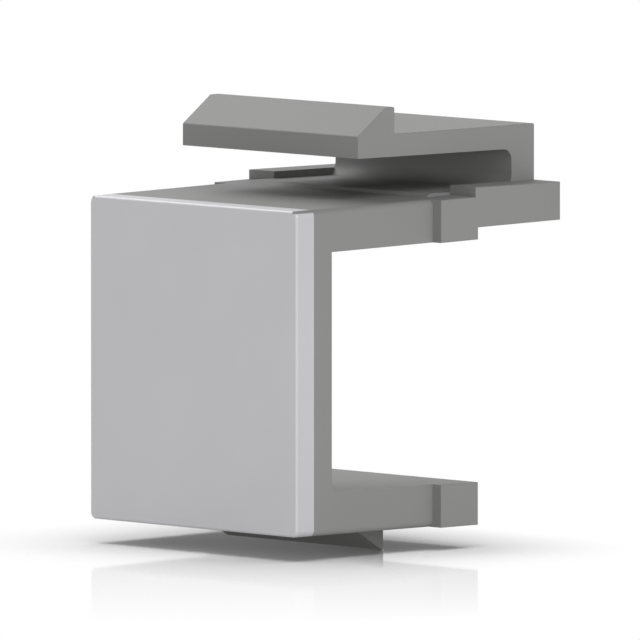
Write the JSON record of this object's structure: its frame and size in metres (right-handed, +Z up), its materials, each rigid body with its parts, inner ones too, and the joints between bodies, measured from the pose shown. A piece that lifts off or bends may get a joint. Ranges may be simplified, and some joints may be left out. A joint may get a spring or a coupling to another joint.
{
  "type": "keystone blank insert",
  "caption": "Snap-in plastic blank for an unused keystone opening: square front plate, C-shaped body, folded spring latch on top and fixed hook below.",
  "frame": {"origin": "centre of the front face", "axes": "+X to the right seen from the front, +Y into the panel, +Z up"},
  "size_m": [0.016, 0.0178, 0.022],
  "materials": {
    "moulding": "satin grey moulded plastic, lighter over the front plate"
  },
  "bodies": {
    "root": {"blank_insert": "moulding"}
  },
  "joints": []
}
